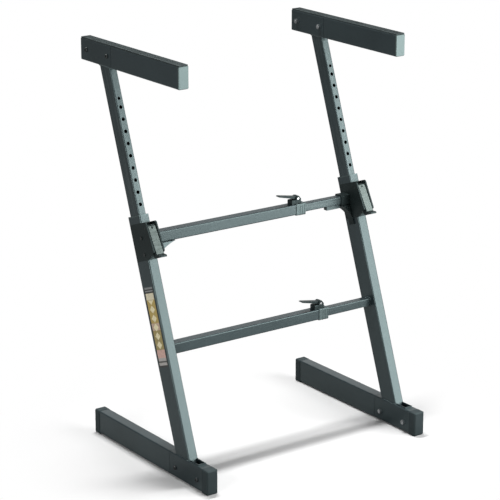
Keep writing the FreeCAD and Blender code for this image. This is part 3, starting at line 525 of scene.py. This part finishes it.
barSeams = {
    "lowerZ": 286 * mm,
    "upperZ": 520 * mm,
    "outerHalf": 12.5 * mm,
    "innerHalf": 9.5 * mm,
    "uprightHalf": 12.5 * mm,
    "gussetReach": 63 * mm,
    "gussetHalf": 11.2 * mm,
}
footSeam = {
    "half": 12.6 * mm,
    "reach": 25 * mm,
    "frontShare": 0.9,  # how far forward the bead runs, as a share of the reach
    "height": 57.2 * mm,
}
armSeam = {"halfX": 9.5 * mm, "halfY": 20.2 * mm, "height": 887.5 * mm}


def axisAt(z):  # where the uprights' axis is at this height
    return axisY + (z - stance["footTop"]) * math.tan(stance["lean"])


def weldAll():
    seam = barSeams
    leftFace = -stance["frameX"] + seam["uprightHalf"]
    rightFace = stance["frameX"] - seam["uprightHalf"]
    low = seam["lowerZ"]
    outer = squareRound(leftFace, axisAt(low), low, seam["outerHalf"])
    inner = squareRound(rightFace, axisAt(low), low, seam["innerHalf"])
    weldBead("lowerOuterBarWeld", outer, "left_frame", True)
    weldBead("lowerInnerBarWeld", inner, "right_frame", True)
    under = seam["upperZ"] - seam["outerHalf"]
    for word, way in (("Front", -1), ("Back", 1)):
        y = axisAt(seam["upperZ"]) + way * seam["gussetHalf"]
        line = [Vector((leftFace, y, under)), Vector((leftFace + seam["gussetReach"], y, under))]
        weldBead("gusset" + word + "Weld", line, "left_frame")
    for side, word in ((-1, "left"), (1, "right")):
        middle = side * stance["frameX"]
        reach = footSeam["reach"] / math.cos(stance["lean"])
        front = -footSeam["frontShare"]
        foot = [Vector((middle + across * footSeam["half"], axisY + along * reach, footSeam["height"]))
                for across, along in ((-1, front), (-1, 1), (1, 1), (1, front))]
        weldBead(word + "FootWeld", foot, word + "_frame")
        height = armSeam["height"]
        y = axisAt(height)
        arm = [Vector((middle + across * armSeam["halfX"], y + along * armSeam["halfY"], height))
               for across, along in ((-1, -1), (-1, 1), (1, 1), (1, -1))]
        weldBead(word + "ArmWeld", arm, word + "_riser", True)


weldAll()
print("welds laid")


# rubber strips on the arms, ribbed lengthwise so that the keyboard grips

padLook = {
    "edge": 0.7 * mm,
    "grooves": 6,
    "pitch": 3.3 * mm,
    "grooveWidth": 1.3 * mm,
    "grooveDepth": 0.7 * mm,
}


def ribbedPad(word):
    look = padLook
    low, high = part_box(word + "_arm_pad")
    middle = (low + high) / 2
    shape = bmesh.new()
    bmesh.ops.create_cube(shape, size=1.0)
    moved(shape, shape.verts, high - low, middle)
    bmesh.ops.bevel(shape, geom=shape.edges[:], affect="EDGES", offset=look["edge"], segments=2,
                    profile=0.5, material=-1)
    lastFromMiddle = (look["grooves"] - 1) / 2
    grooves = [middle.x + look["pitch"] * (index - lastFromMiddle) for index in range(look["grooves"])]
    halfWidth = look["grooveWidth"] / 2
    for groove in grooves:
        cutAcross(shape, groove - halfWidth)
        cutAcross(shape, groove + halfWidth)
    shape.normal_update()
    tops = []
    for face in shape.faces:
        x = face.calc_center_median().x
        if face.normal.z > facingUp and min(abs(x - groove) for groove in grooves) < halfWidth:
            tops.append(face)
    sunk = bmesh.ops.extrude_face_region(shape, geom=tops)
    moved(shape, vertsOf(sunk), by=(0, 0, -look["grooveDepth"]))
    bmesh.ops.delete(shape, geom=[face for face in tops if face.is_valid], context="FACES")
    bmesh.ops.recalc_face_normals(shape, faces=shape.faces)
    pad = placed(shape, word + "RibbedPad", finishOf["pad_rubber"], word + "_riser")
    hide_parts(word + "_arm_pad")


for word in ("left", "right"):
    ribbedPad(word)
print("pads ribbed")


# raised rings round the crossbar collars

collarRings = {
    "places": (3.2 * mm, 9.6 * mm, 16.0 * mm),  # from the collar's right-hand end
    "width": 1.3 * mm,
    "rise": 0.6 * mm,
    "sunk": 0.5 * mm,
    "corner": 3.2 * mm,
    "cornerLess": 0.8 * mm,  # how much tighter the inner corners are
}


def squareLoop(shape, half, corner):
    loop = bmesh.ops.create_circle(shape, segments=4, radius=half * math.sqrt(2))["verts"]
    bmesh.ops.rotate(shape, cent=(0, 0, 0), matrix=Matrix.Rotation(math.radians(45), 3, "Z"), verts=loop)
    bmesh.ops.bevel(shape, geom=loop, affect="VERTICES", offset=corner, segments=3,
                    profile=0.5, material=-1)


def collarRing(name, x, middleY, middleZ, half):
    look = collarRings
    shape = bmesh.new()
    squareLoop(shape, half + look["rise"], look["corner"])
    squareLoop(shape, half - look["sunk"], look["corner"] - look["cornerLess"])
    face = bmesh.ops.bridge_loops(shape, edges=shape.edges[:])["faces"]
    raised = bmesh.ops.extrude_face_region(shape, geom=face, use_keep_orig=True)
    moved(shape, vertsOf(raised), by=(0, 0, look["width"]))
    bmesh.ops.recalc_face_normals(shape, faces=shape.faces)
    stand = Matrix.Translation((x, middleY, middleZ)) @ Matrix.Rotation(quarterTurn, 4, "Y")
    bmesh.ops.transform(shape, matrix=stand, verts=shape.verts)
    placed(shape, name, finishOf["guide_plastic"], "left_frame")


def ringCollars():
    for bar in ("upper", "lower"):
        low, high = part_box(bar + "_collar")
        middle = (low + high) / 2
        half = (high.y - low.y) / 2
        for index, inset in enumerate(collarRings["places"]):
            name = bar + "CollarRing" + str(index + 1)
            collarRing(name, high.x - inset, middle.y, middle.z, half)


ringCollars()
print("collars ringed")


# springs behind the lock levers, which the drawn pin presses together; the coils are wound at one fixed
# length

springLook = {
    "wire": 0.35 * mm,
    "radius": 4.9 * mm,
    "turns": 4,
    "stepsPerTurn": 24,
    "up": 485 * mm,  # along the upright
    "start": 30.05 * mm,  # out from the upright's axis, to the middle of the wire
    "end": 38.45 * mm,
    "seat": 39 * mm,  # the housing's bridge, which holds the outer end
    "pressedTo": 0.56,
}


def lockSpring(side, word):
    look = springLook
    steps = look["turns"] * look["stepsPerTurn"]
    shape = bmesh.new()
    ring = bmesh.ops.create_circle(shape, segments=8, radius=look["wire"])["verts"]
    bmesh.ops.rotate(shape, cent=(0, 0, 0), matrix=Matrix.Rotation(quarterTurn, 3, "X"), verts=ring)
    moved(shape, ring, by=(look["radius"], 0, 0))
    rise = (look["end"] - look["start"]) / steps
    bmesh.ops.spin(shape, geom=shape.verts[:] + shape.edges[:], cent=(0, 0, 0), axis=(0, 0, 1),
                   steps=steps, angle=math.radians(360 * look["turns"]), dvec=(0, 0, rise))
    bmesh.ops.holes_fill(shape, edges=[edge for edge in shape.edges if edge.is_boundary])
    bmesh.ops.recalc_face_normals(shape, faces=shape.faces)
    for face in shape.faces:
        face.smooth = len(face.verts) == 4  # the wire, but not its cut ends
    stand = Matrix.Translation((0, -look["start"], look["up"])) @ Matrix.Rotation(quarterTurn, 4, "X")
    bmesh.ops.transform(shape, matrix=uprightPlace(side) @ stand, verts=shape.verts)
    steel = finishOf["spring_steel"]
    spring = placed(shape, word + "CoilSpring", steel, word + "_frame")
    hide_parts(word + "_lock_spring")
    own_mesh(spring)


lockSpring(-1, "left")
lockSpring(1, "right")
print("springs wound")


# the strip on the left upright: a plain pattern in cream, gold and rose

labelLook = {
    "low": 204.0 * mm,  # along the upright
    "high": 384.0 * mm,
    "front": -19.0 * mm,
    "back": 17.0 * mm,
    "thick": 0.18 * mm,
    "corner": 2.5 * mm,
    "lozenges": 9.0,
    "lozengeHalf": 0.3,  # as a share of the strip's width
    "lozengeSlant": 2.2,
    "lozengesFrom": 0.215,  # shares of the strip's height
    "lozengesTo": 0.84,
    "edgeFrom": 0.455,  # from the middle, as a share of the width
    "scuff": (0.12, 0.12, 0.1),
    "scuffScale": 260.0,
    "scuffMost": 0.35,
    "scuffSpan": (0.5, 0.72),
    "smooth": 0.34,
    "rough": 0.5,
    "cream": (0.82, 0.74, 0.48),
    "edge": (0.02, 0.02, 0.016),
    "bands": (  # share of the height, colour from there up
        (0.0, (0.03, 0.03, 0.03)),
        (0.02, (0.42, 0.4, 0.38)),
        (0.055, (0.07, 0.07, 0.065)),
        (0.075, (0.42, 0.4, 0.38)),
        (0.115, (0.62, 0.4, 0.34)),
        (0.215, (0.34, 0.27, 0.1)),
        (0.46, (0.55, 0.4, 0.3)),
        (0.55, (0.46, 0.34, 0.1)),
        (0.84, (0.72, 0.66, 0.48)),
        (0.925, (0.025, 0.026, 0.025)),
        (0.942, (0.24, 0.25, 0.25)),
        (0.96, (0.025, 0.026, 0.025)),
        (0.975, (0.22, 0.23, 0.23)),
    ),
}


def mathStep(tree, operation, *sources):
    step = tree.nodes.new("ShaderNodeMath")
    step.operation = operation
    for socket, source in zip(step.inputs, sources):
        if isinstance(source, (int, float)):
            socket.default_value = source
        else:
            tree.links.new(source, socket)
    return step.outputs["Value"]


def labelPrint():
    look = labelLook
    finish, tree, shader, coords = newFinish("labelPrint")
    flat = tree.nodes.new("ShaderNodeUVMap")
    flat.uv_map = "labelMap"
    parts = tree.nodes.new("ShaderNodeSeparateXYZ")
    tree.links.new(flat.outputs["UV"], parts.inputs["Vector"])
    across, up = parts.outputs["X"], parts.outputs["Y"]
    ramp = tree.nodes.new("ShaderNodeValToRGB")
    ramp.color_ramp.interpolation = "CONSTANT"
    stops = ramp.color_ramp.elements
    stops.remove(stops[1])
    for index, (share, colour) in enumerate(look["bands"]):
        stop = stops[0] if index == 0 else stops.new(share)
        stop.position = share
        stop.color = colour + (1,)
    tree.links.new(up, ramp.inputs["Fac"])
    fromMiddle = mathStep(tree, "ABSOLUTE", mathStep(tree, "SUBTRACT", across, 0.5))
    cell = mathStep(tree, "FRACT", mathStep(tree, "MULTIPLY", up, look["lozenges"]))
    fromCell = mathStep(tree, "ABSOLUTE", mathStep(tree, "SUBTRACT", cell, 0.5))
    reach = mathStep(tree, "ADD", mathStep(tree, "DIVIDE", fromMiddle, look["lozengeHalf"]),
                     mathStep(tree, "MULTIPLY", fromCell, look["lozengeSlant"]))
    inLozenge = mathStep(tree, "LESS_THAN", reach, 1.0)
    above = mathStep(tree, "GREATER_THAN", up, look["lozengesFrom"])
    below = mathStep(tree, "LESS_THAN", up, look["lozengesTo"])
    cream = mathStep(tree, "MULTIPLY", inLozenge, mathStep(tree, "MULTIPLY", above, below))
    face = mixColour(tree, cream, ramp.outputs["Color"], look["cream"])
    atEdge = mathStep(tree, "GREATER_THAN", fromMiddle, look["edgeFrom"])
    edged = mixColour(tree, atEdge, face, look["edge"])
    scuff = addNoise(tree, coords, look["scuffScale"], 4.0)
    scuffed = spread(tree, scuff.outputs["Fac"], 0, look["scuffMost"], *look["scuffSpan"])
    worn = mixColour(tree, scuffed, edged, look["scuff"])
    tree.links.new(worn, shader.inputs["Base Color"])
    addRoughness(tree, shader, scuff.outputs["Fac"], look["smooth"], look["rough"])
    return finish


def makeLabel():
    look = labelLook
    width = look["back"] - look["front"]
    length = look["high"] - look["low"]
    shape = bmesh.new()
    bmesh.ops.create_grid(shape, x_segments=1, y_segments=1, size=0.5)
    moved(shape, shape.verts, (width, length, 1))
    bmesh.ops.bevel(shape, geom=shape.verts[:], affect="VERTICES", offset=look["corner"], segments=4,
                    profile=0.5, material=-1)
    raised = bmesh.ops.extrude_face_region(shape, geom=shape.faces[:], use_keep_orig=True)
    moved(shape, vertsOf(raised), by=(0, 0, look["thick"]))
    bmesh.ops.recalc_face_normals(shape, faces=shape.faces)
    flat = shape.loops.layers.uv.new("labelMap")
    for face in shape.faces:
        for loop in face.loops:
            loop[flat].uv = (loop.vert.co.x / width + 0.5, loop.vert.co.y / length + 0.5)
    # the strip's face turned outward and its length up
    stand = Matrix(((0, 0, -1, 0), (-1, 0, 0, 0), (0, 1, 0, 0), (0, 0, 0, 1)))
    middle = Vector((-barSeams["uprightHalf"], (look["front"] + look["back"]) / 2,
                     (look["low"] + look["high"]) / 2))
    place = uprightPlace(-1) @ Matrix.Translation(middle) @ stand
    bmesh.ops.transform(shape, matrix=place, verts=shape.verts)
    placed(shape, "uprightStrip", labelPrint(), "left_frame")


makeLabel()
print("strip on the left upright made")
